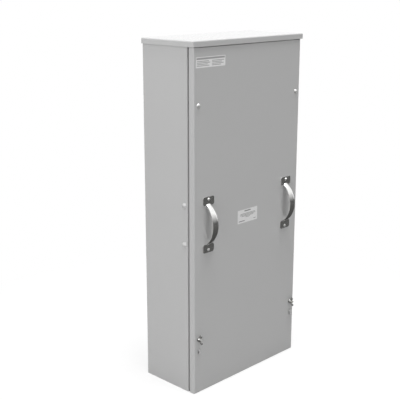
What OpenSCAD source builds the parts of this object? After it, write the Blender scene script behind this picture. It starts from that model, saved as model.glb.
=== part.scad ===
// Electrical termination cabinet: folded sheet-steel body with a rain hood, a lift-off
// cover with two pull handles, and bus bars with cable lugs inside.
// Millimetres. +Z is up, the cover faces -Y, and the origin is at the base, midway
// between the front of the handles and the back.

/* [Cabinet] */
// Outside width of the body
cabinet_w = 450; // [380:1:700]
// Height from the base to the top of the hood
cabinet_h = 1016; // [820:1:1600]
// Depth from the face of the cover to the back
cabinet_d = 203; // [160:1:400]
// How far the handles, side bolts and bus bars sit below mid-height
middle_drop = 2; // [0:0.5:40]
// Thickness of the body and cover sheet
sheet = 2; // [1.2:0.1:2.4]
// Inside radius of the folds
fold_inner = 1; // [0.4:0.1:1.4]

/* [Hood] */
// Height of the lip that the hood turns down
hood_lip = 16; // [10:0.5:30]
// How far the hood stands out over each side
hood_side = 5.3; // [4.5:0.1:12]
// How far the hood stands out over the cover
hood_front = 3.6; // [2.6:0.1:12]

/* [Front rim] */
// Step from the body's side in to the neck that the cover slips over
neck_inset = 7; // [5.5:0.1:10]
// Width of the groove between the cover and the body's side
groove_w = 6.6; // [3:0.1:15]
// Width of the flange that the cover lands on
landing_w = 32; // [30:0.5:40]
// Depth of the return on the landing flange's inner edge
landing_return = 10; // [5:0.5:14]
// Height of the floor's turned-up rear edge
floor_upstand = 18; // [10:1:40]
// Width of the header's lap under the hood
header_lap = 22; // [12:1:60]

/* [Cover] */
// Depth of the cover's turned edge
cover_edge = 19; // [16:0.5:30]
// Gap between the cover's top and the hood's lip
cover_top_gap = 1; // [0.5:0.1:6]
// Height of the cover's lower edge above the base
cover_foot_gap = 1; // [0.5:0.1:6]
// Gap between the cover and the flange that it lands on
cover_seat_gap = 0.3; // [0.1:0.05:1]
// Distance from the neck's outer face in to the screws and studs
fastener_inset = 10; // [9.5:0.5:17]

/* [Cover screws] */
// Distance from the top of the hood down to the cover screws
cover_screw_drop = 171.5; // [60:0.5:300]
// Radius of the cover screws' shanks
cover_screw_r = 3.2; // [2:0.1:3.5]
// Radius of the cover screws' heads
cover_screw_head_r = 6.5; // [4.5:0.1:9]
// Height of the cover screws' heads
cover_screw_head_h = 4; // [2.5:0.1:6]

/* [Sealing studs and wing nuts] */
// Height of the studs above the base
stud_height = 169.5; // [90:0.5:300]
// Radius of the studs
stud_r = 3.2; // [2.5:0.1:3.6]
// How far a stud stands out past the cover's face
stud_reach = 13.5; // [11:0.5:20]
// Distance across the wings of a wing nut
wing_spread = 30.5; // [25:0.5:34]
// Turn of the wings from upright
wing_turn = 8; // [0:1:180]

/* [Seal loops] */
// Distance from a stud down to its seal loop
seal_loop_drop = 39; // [26:0.5:50]
// Length of the formed loop
seal_loop_l = 15; // [12:0.5:20]
// Width of the formed loop
seal_loop_w = 5; // [3:0.5:8]
// How far the loop stands out of the cover
seal_loop_proud = 5.5; // [4:0.1:6]

/* [Handles] */
// Distance from the cover's side edge to the handle's middle
handle_inset = 55; // [50:0.5:75]
// Length of a handle from end to end
handle_l = 163; // [140:1:220]
// How far a handle stands out of the cover
handle_projection = 36; // [28:0.5:45]
// Width of a handle's foot
foot_w = 43.5; // [26:0.5:46]
// Height of a handle's foot
foot_h = 24.5; // [21:0.5:30]
// Thickness of the handle's metal
handle_t = 2.4; // [1.6:0.1:3]
// Width of the grip at its middle
grip_w = 22; // [18:0.5:26]
// Width of the grip at its ends
grip_end_w = 16.5; // [12:0.5:17.5]
// Crown of the grip's pressed section
grip_crown = 5.5; // [3.5:0.1:6]

/* [Side bolts and brackets] */
// Distance from the cover's face back to the carriage bolts
side_bolt_setback = 39; // [38:0.5:46]
// Distance between the two carriage bolts of a side
side_bolt_pitch = 114.3; // [60:0.1:150]
// Radius of the carriage bolts' shanks
side_bolt_r = 3.9; // [2.5:0.1:4.2]
// Radius of the carriage bolts' heads
side_bolt_head_r = 9.3; // [7:0.1:10]
// Height of the carriage bolts' heads
side_bolt_head_h = 4.3; // [2:0.1:4.4]
// Thickness of the bus brackets
bracket_t = 3; // [2:0.1:4]
// Height of the bus brackets
bracket_h = 190; // [180:1:240]
// How far a bracket reaches in from the side wall
bracket_reach = 44; // [36:0.5:46]

/* [Bus bars] */
// Distance from the cover's face to the rear of the bus bars
bus_depth = 64; // [62:0.5:90]
// Width of a bus bar
bar_w = 50; // [40:0.5:55]
// Thickness of a bus bar
bar_t = 6.4; // [4:0.1:10]
// Gap between a bracket's edge and the nearest bus bar
bar_bracket_gap = 18; // [10:1:40]
// How far the bars reach below mid-height
bar_below = 190; // [180:1:240]
// How far the bars reach above mid-height
bar_above = 140; // [132:1:165]
// Distance between the two holes of a cable landing
landing_pitch = 44.45; // [40:0.05:48]
// Radius of the cable landing's holes
landing_hole_r = 7.15; // [5:0.05:8]
// Thickness of the insulating cross bars
cross_bar_t = 14; // [10:0.5:20]
// Height of the insulating cross bars
cross_bar_h = 36; // [30:0.5:44]
// Distance from mid-height to each cross bar
cross_bar_offset = 64; // [52:0.5:66]
// Radius of the bolts that hold the bars
bar_bolt_r = 4; // [3:0.1:5]

/* [Lugs] */
// Width of a cable lug
lug_w = 36; // [34:0.5:46]
// Depth of a cable lug's barrel
lug_depth = 38; // [36:0.5:41]
// Radius of the cable bore
lug_bore_r = 11; // [8:0.1:11.5]
// Wall between the cable bore and the bus bar
lug_wall = 7; // [6:0.1:8]
// Distance from mid-height up to the lugs' lower ends
lug_rise = 95; // [92:1:105]
// Length of the lug's flat tang
lug_tang_l = 34; // [30:0.5:36]
// Length of the lug's barrel
lug_barrel_l = 43; // [36:0.5:55]
// Radius of the bolt that holds the lug
lug_bolt_r = 4.8; // [4:0.1:5.5]
// Radius of the set screw
lug_screw_r = 7; // [5:0.1:8]

/* [Ground bar] */
// Height of the ground bar above the base
ground_height = 200; // [130:1:280]
// Length of the ground bar
ground_l = 140; // [120:1:200]
// Height and depth of the ground bar
ground_s = 14; // [11:0.5:20]
// Length of the ground bar's standoffs
standoff_l = 15; // [8:0.5:30]
// Number of wire holes
ground_holes = 7; // [3:1:7]
// Distance between wire holes
ground_pitch = 14; // [13:0.5:15]
// Radius of the wire holes
ground_hole_r = 2.8; // [1.5:0.1:3.4]

/* [Wall fixing] */
// Distance across between the wall holes
wall_hole_across = 300; // [200:1:380]
// Distance from the cabinet's ends to the wall holes
wall_hole_edge = 100; // [50:1:130]
// Radius of the wall holes
wall_hole_r = 4.75; // [3:0.05:7]
// Radius of the weep holes in the floor
weep_r = 3.2; // [2:0.1:5]

/* [Hidden] */
$fn = 48;

// Colours
paint = [0.69, 0.69, 0.69];
bright = [0.80, 0.80, 0.81];
zinc = [0.72, 0.72, 0.70];
tinned = [0.78, 0.79, 0.80];
insulator = [0.55, 0.14, 0.10];

// Clearances
hole_gap = 0.2;
thread_gap = 0.05;
turning_gap = 0.15;
face_gap = 0.3;
past = 1;

// Folds, measured on the outside and on the middle of the sheet
fold_outer = fold_inner + sheet;
fold_mid = fold_inner + sheet / 2;
fold_lap = 0.1;

// Planes of the cabinet
x_side = cabinet_w / 2;
x_wall = x_side - sheet;
y_face = (handle_projection - cabinet_d) / 2;
y_back = y_face + cabinet_d;
y_wall = y_back - sheet;
z_mid = cabinet_h / 2 - middle_drop;
z_roof = cabinet_h - sheet;

// Planes of the cover and of the front rim that carries it
y_cover_in = y_face + sheet;
y_land = y_cover_in + cover_seat_gap;
y_land_in = y_land + sheet;
y_step = y_face + cover_edge + groove_w;
z_cover_0 = cover_foot_gap;
z_cover_1 = cabinet_h - hood_lip - cover_top_gap;
x_neck = x_side - neck_inset;
x_neck_in = x_neck - sheet;
z_neck_0 = z_cover_0 + neck_inset;
z_neck_1 = z_cover_1 - neck_inset;
x_open = x_neck - landing_w - sheet / 2;
x_fastener = x_neck - fastener_inset;
z_screw = cabinet_h - cover_screw_drop;

// The rim's middle line: depth, and distance in from the neck's outer face
y_rim = y_land + sheet / 2;
y_riser = y_step + sheet / 2;
rim = [
    [y_rim + landing_return, landing_w],
    [y_rim, landing_w],
    [y_rim, sheet / 2],
    [y_riser, sheet / 2]
];

// Bus bars, cross bars and lugs
y_bars = y_face + bus_depth;
y_bar_front = y_bars - bar_t;
y_cross_back = y_bars + cross_bar_t;
x_outer_bar = x_wall - bracket_reach - bar_bracket_gap - bar_w / 2;
bar_count = 4;
bar_pitch = 2 * x_outer_bar / (bar_count - 1);
bar_xs = [for (i = [0:bar_count - 1]) i * bar_pitch - x_outer_bar];
x_bracket_bolt = x_wall - bracket_reach / 2;
z_lug = z_mid + lug_rise;
z_barrel = z_lug + lug_tang_l;
z_lug_top = z_barrel + lug_barrel_l;
lug_tang_t = lug_wall;
landing_edge = 20;

// Small hardware
hex_ratio = 1.8;
nut_ratio = 1.6;
head_ratio = 1.2;
washer_t = 1.6;
shank_past = 3;
handle_screw_r = 2.4;
handle_screw_head_r = 4.4;
handle_screw_head_h = 3;
handle_screw_offset = 4.5;
foot_corner = 6;
ring_r = 5;
ring_t = 1;
nut_plate_w = 14;
nut_plate_h = 28;
nut_plate_t = 4;
stud_head_r = 6;
stud_head_t = 1.6;
seal_hole_r = 1.1;
seal_hole_inset = 2.6;
hub_gap = 1;
hub_gap_r = stud_r + hub_gap;
round_head_ratio = 1.9;
round_head_rise = 1.3;
socket_ratio = 0.55;

// Square from -reach to edge, whose outer corner is rounded
module round_corner(edge, reach, r) {
    difference() {
        translate([-reach, -reach]) square(reach + edge);
        translate([edge - r, edge - r])
            difference() {
                square(r + past);
                circle(r);
            }
    }
}

// Sheet of thickness t folded along a middle line, with square folds of middle radius r,
// drawn out along +Z
module folded_sheet(path, t, r, length) {
    last = len(path) - 1;
    for (i = [0:last - 1]) {
        along = (path[i + 1] - path[i]) / norm(path[i + 1] - path[i]);
        from = path[i] + (i > 0 ? r : 0) * along;
        to = path[i + 1] - (i < last - 1 ? r : 0) * along;
        across = [-along[1], along[0]] * t / 2;
        linear_extrude(length) polygon([from + across, to + across, to - across, from - across]);
    }
    for (i = [1:last - 1]) {
        u = (path[i] - path[i - 1]) / norm(path[i] - path[i - 1]);
        v = (path[i] - path[i + 1]) / norm(path[i] - path[i + 1]);
        multmatrix([[u[0], v[0], 0, path[i][0]], [u[1], v[1], 0, path[i][1]], [0, 0, 1, 0]])
            linear_extrude(length)
                difference() {
                    round_corner(t / 2, r + fold_lap, r + t / 2);
                    round_corner(-t / 2, r + 2 * fold_lap, r - t / 2);
                }
    }
}

// Block between two corners
module block(from, to) {
    translate(from) cube(to - from);
}

// Shape drawn out along +Z for a length, turned to lie along X and centred there
module turned_to_x(length) {
    translate([-length / 2, 0, 0]) rotate([90, 0, 90]) children();
}

// Outline in Y and Z drawn out along X, centred
module along_x(width) {
    turned_to_x(width) linear_extrude(width) children();
}

// Outline in X and Z drawn out along Y
module along_y(from, to) {
    translate([0, to, 0]) rotate([90, 0, 0]) linear_extrude(to - from) children();
}

// Round bar along +Y from a point
module rod_y(at, r, length) {
    translate(at) rotate([-90, 0, 0]) cylinder(r = r, h = length);
}

// Hexagonal bar along +Y from a point
module hex_y(at, r, length) {
    translate(at) rotate([-90, 0, 0]) cylinder(r = r, h = length, $fn = 6);
}

// Rectangle from lo to hi with its lower two corners rounded
module tray_outline(lo, hi, depth, r) {
    translate([lo, r]) square([hi - lo, depth - r]);
    translate([lo + r, 0]) square([hi - lo - 2 * r, depth]);
    for (u = [lo + r, hi - r])
        translate([u, r]) circle(r);
}

// Solid tray with its face on y = 0 and round edges along all four sides of the face
module tray(x, z, depth, r) {
    intersection() {
        translate([0, 0, z[0]]) linear_extrude(z[1] - z[0]) tray_outline(x[0], x[1], depth, r);
        translate([(x[0] + x[1]) / 2, 0, 0])
            along_x(x[1] - x[0]) mirror([1, -1]) tray_outline(z[0], z[1], depth, r);
    }
}

// Sheet pan with four turned edges
module folded_pan(x, z, depth) {
    inset = [sheet, -sheet];
    difference() {
        tray(x, z, depth, fold_outer);
        translate([0, sheet, 0]) tray(x + inset, z + inset, depth, fold_inner);
    }
}

// Round-topped cap of a screw or bolt head, rising along +Z
module dome(r, h) {
    ball_r = (r * r + h * h) / (2 * h);
    rotate_extrude()
        intersection() {
            translate([0, h - ball_r]) circle(ball_r);
            square([r, h]);
        }
}

// Body sheet: back and sides in one, with a stepped neck and landing flange along each front edge
module body_wrapper() {
    left = [
        for (p = rim) [-(x_neck - p[1]), p[0]],
        [-(x_side - sheet / 2), y_riser],
        [-(x_side - sheet / 2), y_back - sheet / 2]
    ];
    right = [for (i = [len(left) - 1:-1:0]) [-left[i][0], left[i][1]]];
    color(paint)
        difference() {
            folded_sheet(concat(left, right), sheet, fold_mid, cabinet_h);
            block([-x_side - past, y_face, z_roof], [x_side + past, y_wall, cabinet_h + past]);
            for (end = [[-past, z_neck_0, sheet], [z_neck_1, cabinet_h, -sheet]]) {
                block([-x_side - past, y_face, end[0]], [x_side + past, y_step, end[1]]);
                block(
                    [-x_neck_in, y_face, end[0] + min(end[2], 0)],
                    [x_neck_in, y_step, end[1] + max(end[2], 0)]
                );
            }
            wall_holes();
            for (s = [-1, 1]) {
                rod_y([s * x_fastener, y_face, stud_height], stud_r + thread_gap, cover_edge);
                rod_y([s * x_fastener, y_face, z_screw], ring_r + turning_gap, cover_edge);
                for (z = [-1, 1])
                    translate([s * x_side, y_face + side_bolt_setback, z_mid + z * side_bolt_pitch / 2])
                        cube(2 * (side_bolt_r + hole_gap), center = true);
            }
        }
}

module wall_holes() {
    for (x = [-1, 1], z = [wall_hole_edge, cabinet_h - wall_hole_edge])
        rod_y([x * wall_hole_across / 2, y_wall - past, z], wall_hole_r, sheet + 2 * past);
}

// Floor sheet, stepped at the front into the lower neck and landing flange
module bottom_pan() {
    path = [
        for (p = rim) [p[0], z_neck_0 + p[1]],
        [y_riser, sheet / 2],
        [y_wall - sheet / 2, sheet / 2],
        [y_wall - sheet / 2, floor_upstand]
    ];
    color(paint)
        difference() {
            intersection() {
                turned_to_x(2 * x_wall) folded_sheet(path, sheet, fold_mid, 2 * x_wall);
                union() {
                    block([-x_wall, y_step + sheet, 0], [x_wall, y_wall - fold_inner, floor_upstand]);
                    block(
                        [fold_inner - x_wall, y_step + sheet, 0],
                        [x_wall - fold_inner, y_wall, floor_upstand]
                    );
                    block([-x_neck_in, y_face, 0], [x_neck_in, y_step + sheet, z_neck_0 + sheet]);
                    block([-x_open, y_face, 0], [x_open, y_step, z_mid]);
                }
            }
            for (s = [-1, 1])
                translate([s * wall_hole_across / 2, y_step + landing_w, -past])
                    cylinder(r = weep_r, h = sheet + 2 * past);
        }
}

// Channel under the hood with the upper neck and landing flange
module header() {
    path = [
        for (p = rim) [p[0], z_neck_1 - p[1]],
        [y_riser, z_roof - sheet / 2],
        [y_riser + header_lap, z_roof - sheet / 2]
    ];
    color(paint)
        intersection() {
            turned_to_x(2 * x_neck_in) folded_sheet(path, sheet, fold_mid, 2 * x_neck_in);
            union() {
                block([-x_neck_in, y_face, z_neck_1 - sheet], [x_neck_in, y_back, z_roof]);
                block([-x_open, y_face, z_mid], [x_open, y_step, z_roof]);
            }
        }
}

// Rain hood with lips at the front and sides
module hood() {
    x_lip = x_side + hood_side;
    color(paint)
        difference() {
            translate([0, 0, cabinet_h]) rotate([-90, 0, 0])
                folded_pan([-x_lip, x_lip], [y_face - hood_front, y_back + fold_outer + past], hood_lip);
            block(
                [-x_lip - past, y_wall, cabinet_h - hood_lip - past],
                [x_lip + past, y_back + 2 * fold_outer, cabinet_h + past]
            );
        }
}

// Drilled studs that the wing nuts turn on, clinched into the landing flange
module sealing_studs() {
    color(zinc)
        for (s = [-1, 1])
            difference() {
                union() {
                    rod_y(
                        [s * x_fastener, y_face - stud_reach, stud_height],
                        stud_r, y_land_in + stud_head_t - y_face + stud_reach
                    );
                    rod_y([s * x_fastener, y_land_in, stud_height], stud_head_r, stud_head_t);
                }
                translate([s * x_fastener, y_face - stud_reach + seal_hole_inset, stud_height])
                    rotate([0, 90, 0]) cylinder(r = seal_hole_r, h = 4 * stud_r, center = true);
            }
}

// Tapped plates behind the landing flange for the cover screws
module nut_plates() {
    color(zinc)
        for (s = [-1, 1])
            difference() {
                block(
                    [s * x_fastener - nut_plate_w / 2, y_land_in, z_screw - nut_plate_h / 2],
                    [s * x_fastener + nut_plate_w / 2, y_land_in + nut_plate_t, z_screw + nut_plate_h / 2]
                );
                rod_y([s * x_fastener, y_face, z_screw], cover_screw_r + turning_gap, cabinet_d / 2);
            }
}

// Places of the carriage bolts, each with its shank along -X from the outside of a side wall
module at_side_bolts() {
    for (s = [0, 1], z = [-1, 1])
        mirror([s, 0, 0])
            translate([x_side, y_face + side_bolt_setback, z_mid + z * side_bolt_pitch / 2])
                rotate([0, -90, 0]) children();
}

side_bolt_grip = sheet + bracket_t + washer_t + nut_ratio * side_bolt_r;

module carriage_bolts() {
    color(paint)
        at_side_bolts() {
            rotate([180, 0, 0]) dome(side_bolt_head_r, side_bolt_head_h);
            translate([-side_bolt_r, -side_bolt_r, 0]) cube([2 * side_bolt_r, 2 * side_bolt_r, sheet]);
            cylinder(r = side_bolt_r, h = side_bolt_grip + shank_past);
        }
}

// Hexagonal nut on its washer, rising along +Z
module nut_on_washer(r) {
    difference() {
        union() {
            cylinder(r = 2 * r, h = washer_t);
            translate([0, 0, washer_t]) cylinder(r = hex_ratio * r, h = nut_ratio * r, $fn = 6);
        }
        translate([0, 0, -past]) cylinder(r = r + thread_gap, h = washer_t + nut_ratio * r + 2 * past);
    }
}

module carriage_nuts() {
    color(zinc)
        at_side_bolts()
            translate([0, 0, sheet + bracket_t]) nut_on_washer(side_bolt_r);
}

// Angle bracket on the inside of the right wall
module bracket() {
    path = [
        [x_wall - bracket_t / 2, y_step + sheet + 2 * fold_inner],
        [x_wall - bracket_t / 2, y_bars - bracket_t / 2],
        [x_wall - bracket_reach, y_bars - bracket_t / 2]
    ];
    color(zinc)
        difference() {
            translate([0, 0, z_mid - bracket_h / 2])
                folded_sheet(path, bracket_t, bracket_t, bracket_h);
            for (z = [-1, 1]) {
                translate([x_wall, y_face + side_bolt_setback, z_mid + z * side_bolt_pitch / 2])
                    rotate([0, 90, 0])
                        cylinder(r = side_bolt_r + hole_gap, h = 4 * bracket_t, center = true);
                rod_y(
                    [x_bracket_bolt, y_bars - 2 * bracket_t, z_mid + z * cross_bar_offset],
                    bar_bolt_r + hole_gap, 4 * bracket_t
                );
            }
        }
}

module bracket_left() {
    mirror([1, 0, 0]) bracket();
}

module bracket_right() {
    bracket();
}

// Insulating bar from bracket to bracket, above or below mid-height
module cross_bar(side) {
    end_gap = 2 * bracket_t;
    z = z_mid + side * cross_bar_offset;
    color(insulator)
        difference() {
            block(
                [-x_wall + end_gap, y_bars, z - cross_bar_h / 2],
                [x_wall - end_gap, y_cross_back, z + cross_bar_h / 2]
            );
            for (x = concat([-x_bracket_bolt, x_bracket_bolt], bar_xs))
                rod_y([x, y_bars - past, z], bar_bolt_r + hole_gap, cross_bar_t + 2 * past);
        }
}

module cross_bar_upper() {
    cross_bar(1);
}

module cross_bar_lower() {
    cross_bar(-1);
}

// Hexagonal bolt along +Y, with its head's bearing face at a point
module hex_bolt(at, r, length) {
    head_h = head_ratio * r;
    hex_y(at - [0, head_h, 0], hex_ratio * r, head_h);
    rod_y(at, r, length);
}

bar_nut_h = washer_t + nut_ratio * bar_bolt_r;

module bracket_bolts() {
    color(zinc)
        for (x = [-1, 1], z = [-1, 1])
            hex_bolt(
                [x * x_bracket_bolt, y_bars - bracket_t, z_mid + z * cross_bar_offset],
                bar_bolt_r, bracket_t + cross_bar_t + bar_nut_h + shank_past
            );
}

module bar_bolts() {
    color(zinc)
        for (x = bar_xs, z = [-1, 1])
            hex_bolt(
                [x, y_bar_front, z_mid + z * cross_bar_offset],
                bar_bolt_r, bar_t + cross_bar_t + bar_nut_h + shank_past
            );
}

// Nuts behind the cross bars at the given places across
module cross_bar_nuts(xs) {
    color(zinc)
        for (x = xs, z = [-1, 1])
            translate([x, y_cross_back, z_mid + z * cross_bar_offset])
                rotate([-90, 0, 0]) nut_on_washer(bar_bolt_r);
}

module bracket_nuts() {
    cross_bar_nuts([-x_bracket_bolt, x_bracket_bolt]);
}

module bar_nuts() {
    cross_bar_nuts(bar_xs);
}

// Upright bus bar with a two-hole cable landing at its foot and a lug hole near its top
module bus_bar(x) {
    z_0 = z_mid - bar_below;
    holes = [
        [z_0 + landing_edge, landing_hole_r],
        [z_0 + landing_edge + landing_pitch, landing_hole_r],
        [z_mid - cross_bar_offset, bar_bolt_r + hole_gap],
        [z_mid + cross_bar_offset, bar_bolt_r + hole_gap],
        [z_lug + lug_tang_l / 2, lug_bolt_r + hole_gap]
    ];
    color(tinned)
        difference() {
            block([x - bar_w / 2, y_bar_front, z_0], [x + bar_w / 2, y_bars, z_mid + bar_above]);
            for (h = holes)
                rod_y([x, y_bar_front - past, h[0]], h[1], bar_t + 2 * past);
        }
}

module bus_bar_a() {
    bus_bar(bar_xs[0]);
}

module bus_bar_b() {
    bus_bar(bar_xs[1]);
}

module bus_bar_c() {
    bus_bar(bar_xs[2]);
}

module neutral_bar() {
    bus_bar(bar_xs[3]);
}

// Cable lug: flat tang and a bored barrel with a set screw
module lug(x) {
    corner = 4;
    y_bore = y_bar_front - lug_wall - lug_bore_r;
    y_nose = y_bar_front - lug_depth;
    y_tang = y_bar_front - lug_tang_t;
    color(tinned)
        difference() {
            translate([x, 0, 0])
                along_x(lug_w)
                    polygon([
                        [y_bar_front, z_lug], [y_bar_front, z_lug_top],
                        [y_nose + corner, z_lug_top], [y_nose, z_lug_top - corner],
                        [y_nose, z_barrel + corner], [y_nose + corner, z_barrel],
                        [y_tang, z_barrel], [y_tang, z_lug]
                    ]);
            translate([x, y_bore, z_barrel - past])
                cylinder(r = lug_bore_r, h = lug_barrel_l + 2 * past);
            rod_y([x, y_nose - past, z_barrel + lug_barrel_l / 2], lug_screw_r + thread_gap, lug_depth / 2);
            rod_y([x, y_tang - past, z_lug + lug_tang_l / 2], lug_bolt_r + hole_gap, lug_tang_t + 2 * past);
        }
}

module lug_a() {
    lug(bar_xs[0]);
}

module lug_b() {
    lug(bar_xs[1]);
}

module lug_c() {
    lug(bar_xs[2]);
}

module lug_neutral() {
    lug(bar_xs[3]);
}

// Set screws, backed out to the wall of the cable bore
module lug_set_screws() {
    length = lug_depth - lug_wall - 2 * lug_bore_r + stud_head_t;
    socket_r = socket_ratio * lug_screw_r;
    color(zinc)
        for (x = bar_xs)
            translate([x, y_bar_front - lug_depth - stud_head_t, z_barrel + lug_barrel_l / 2])
                difference() {
                    rod_y([0, 0, 0], lug_screw_r, length);
                    hex_y([0, -past, 0], socket_r, length / 2 + past);
                }
}

module lug_bolts() {
    length = lug_tang_t + bar_t + washer_t + nut_ratio * lug_bolt_r + shank_past;
    color(zinc)
        for (x = bar_xs)
            hex_bolt([x, y_bar_front - lug_tang_t, z_lug + lug_tang_l / 2], lug_bolt_r, length);
}

module lug_nuts() {
    color(zinc)
        for (x = bar_xs)
            translate([x, y_bars, z_lug + lug_tang_l / 2]) rotate([-90, 0, 0]) nut_on_washer(lug_bolt_r);
}

// Ground bar on two standoffs on the back wall
y_ground_back = y_wall - standoff_l;
y_ground = y_ground_back - ground_s;
ground_screw_r = 2.4;
ground_ends = [-1, 1] * (ground_l / 2 - ground_s / 2);
ground_xs = [for (i = [0:ground_holes - 1]) (i - (ground_holes - 1) / 2) * ground_pitch];

module ground_bar() {
    color(tinned)
        difference() {
            block(
                [-ground_l / 2, y_ground, ground_height - ground_s / 2],
                [ground_l / 2, y_ground_back, ground_height + ground_s / 2]
            );
            for (x = ground_xs) {
                translate([x, y_ground_back - ground_s / 2, ground_height - ground_s])
                    cylinder(r = ground_hole_r, h = 2 * ground_s);
                rod_y(
                    [x, y_ground - past, ground_height],
                    ground_screw_r + thread_gap, ground_s / 2 + past
                );
            }
            for (x = ground_ends)
                rod_y([x, y_ground - past, ground_height], ground_screw_r + hole_gap, ground_s + 2 * past);
        }
}

module ground_standoffs() {
    color(zinc)
        for (x = ground_ends)
            difference() {
                rod_y([x, y_ground_back, ground_height], 2 * ground_screw_r, standoff_l);
                rod_y(
                    [x, y_ground_back - past, ground_height],
                    ground_screw_r + thread_gap, standoff_l / 2 + past
                );
            }
}

// Slotted round-head screw along +Y, with its head's bearing face at a point
module slotted_screw(at, r, length) {
    slot_w = r / 2;
    head_h = round_head_rise * r;
    translate(at) {
        difference() {
            rotate([90, 0, 0]) dome(round_head_ratio * r, head_h);
            block([-2 * r, -head_h - past, -slot_w / 2], [2 * r, -head_h / 2, slot_w / 2]);
        }
        rod_y([0, 0, 0], r, length);
    }
}

module ground_screws() {
    color(zinc)
        for (x = ground_ends)
            slotted_screw([x, y_ground, ground_height], ground_screw_r, ground_s + standoff_l / 3);
}

module terminal_screws() {
    color(zinc)
        for (x = ground_xs)
            slotted_screw(
                [x, y_ground - face_gap, ground_height],
                ground_screw_r, ground_s / 2 - ground_hole_r
            );
}

// Bridge of sheet pushed out of the cover between two slits, for a wire seal
loop_ball_r = (pow(seal_loop_l / 2, 2) + pow(seal_loop_proud, 2)) / (2 * seal_loop_proud);
y_loop = y_face - seal_loop_proud + loop_ball_r;
loop_t = 0.8 * sheet;
loop_slit = 0.6;
z_loop = stud_height - seal_loop_drop;

module seal_loop(x) {
    intersection() {
        translate([x, y_loop, z_loop])
            rotate([0, 90, 0])
                difference() {
                    cylinder(r = loop_ball_r, h = seal_loop_w, center = true);
                    cylinder(r = loop_ball_r - loop_t, h = 2 * seal_loop_w, center = true);
                }
        block(
            [x - seal_loop_w, y_face - seal_loop_proud - past, z_loop - seal_loop_l],
            [x + seal_loop_w, y_cover_in, z_loop + seal_loop_l]
        );
    }
}

module seal_loop_slot(x) {
    chord = 2 * sqrt(pow(loop_ball_r - loop_t, 2) - pow(y_loop - y_face, 2));
    half = [seal_loop_w / 2 + loop_slit, sheet + past, chord / 2];
    translate([x, y_face, z_loop]) cube(2 * half, center = true);
}

// Places of the handle screws
handle_screw_z = handle_l / 2 - foot_h / 2 + handle_screw_offset;

module at_handle_screws() {
    for (x = [-1, 1], z = [-1, 1])
        translate([x * (x_side - handle_inset), 0, z_mid + z * handle_screw_z]) children();
}

// Lift-off cover: one folded pan
module cover() {
    color(paint) {
        difference() {
            translate([0, y_face, 0]) folded_pan([-x_side, x_side], [z_cover_0, z_cover_1], cover_edge);
            for (s = [-1, 1]) {
                rod_y([s * x_fastener, y_face - past, stud_height], hub_gap_r, sheet + 2 * past);
                rod_y([s * x_fastener, y_face - past, z_screw], cover_screw_r + hole_gap, sheet + 2 * past);
                seal_loop_slot(s * x_fastener);
            }
            at_handle_screws()
                rod_y([0, y_face - past, 0], handle_screw_r + hole_gap, sheet + 2 * past);
        }
        for (s = [-1, 1])
            seal_loop(s * x_fastener);
    }
}

// Bowed handle pressed from one strip, with a flat foot at each end
foot_lap = 0.45 * foot_h;
bow_chord = handle_l - 2 * foot_h + foot_lap;
bow_r = (pow(bow_chord / 2, 2) + pow(handle_projection, 2)) / (2 * handle_projection);
bow_turn = acos((bow_r - handle_projection) / bow_r);

module grip_section() {
    crown_r = (pow(grip_w / 2, 2) + pow(grip_crown, 2)) / (2 * grip_crown);
    translate([bow_r - crown_r, 0])
        intersection() {
            difference() {
                circle(crown_r);
                circle(crown_r - handle_t);
            }
            translate([0, -grip_w / 2]) square([crown_r, grip_w]);
        }
}

// Outline of the grip from the front, wider at its middle
module grip_outline() {
    taper = (grip_w - grip_end_w) / 2;
    side_r = (pow(bow_chord / 2, 2) + pow(taper, 2)) / (2 * taper);
    intersection_for (s = [-1, 1])
        translate([s * (side_r - grip_w / 2), 0]) circle(side_r, $fn = 256);
}

module foot_outline() {
    inner = [foot_w / 2 - foot_corner, foot_h / 2 - foot_corner];
    square([foot_w, 2 * inner[1]], center = true);
    square([2 * inner[0], foot_h], center = true);
    for (x = [-1, 1], z = [-1, 1])
        translate([x * inner[0], z * inner[1]]) circle(foot_corner);
}

module handle(x) {
    color(bright)
        translate([x, y_face, z_mid])
            difference() {
                union() {
                    intersection() {
                        translate([0, bow_r - handle_projection, 0])
                            rotate([0, 90, 0]) rotate([0, 0, 270 - bow_turn])
                                rotate_extrude(angle = 2 * bow_turn) grip_section();
                        along_y(-handle_projection - past, 0) grip_outline();
                    }
                    for (z = [-1, 1])
                        translate([0, 0, z * (handle_l - foot_h) / 2]) along_y(-handle_t, 0) foot_outline();
                }
                for (z = [-1, 1])
                    rod_y(
                        [0, -handle_projection, z * handle_screw_z],
                        handle_screw_r + hole_gap, 2 * handle_projection
                    );
            }
}

module handle_left() {
    handle(handle_inset - x_side);
}

module handle_right() {
    handle(x_side - handle_inset);
}

handle_nut_h = nut_ratio * handle_screw_r + washer_t;

module handle_screws() {
    color(bright)
        at_handle_screws()
            translate([0, y_face - handle_t, 0]) {
                rotate([90, 0, 0]) dome(handle_screw_head_r, handle_screw_head_h);
                rod_y([0, 0, 0], handle_screw_r, handle_t + sheet + handle_nut_h + shank_past);
            }
}

module handle_nuts() {
    color(zinc)
        at_handle_screws()
            translate([0, y_cover_in, 0]) rotate([-90, 0, 0]) nut_on_washer(handle_screw_r);
}

// Captive cover screws, held by rings behind the cover
module cover_screws() {
    length = y_land_in + nut_plate_t + shank_past - y_face;
    slot_w = 1.6;
    color(bright)
        for (s = [-1, 1])
            translate([s * x_fastener, y_face, z_screw]) {
                difference() {
                    rotate([90, 0, 0]) dome(cover_screw_head_r, cover_screw_head_h);
                    block(
                        [-cover_screw_head_r, -2 * cover_screw_head_h, -slot_w / 2],
                        [cover_screw_head_r, -cover_screw_head_h / 2, slot_w / 2]
                    );
                }
                rod_y([0, 0, 0], cover_screw_r, length);
            }
}

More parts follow.
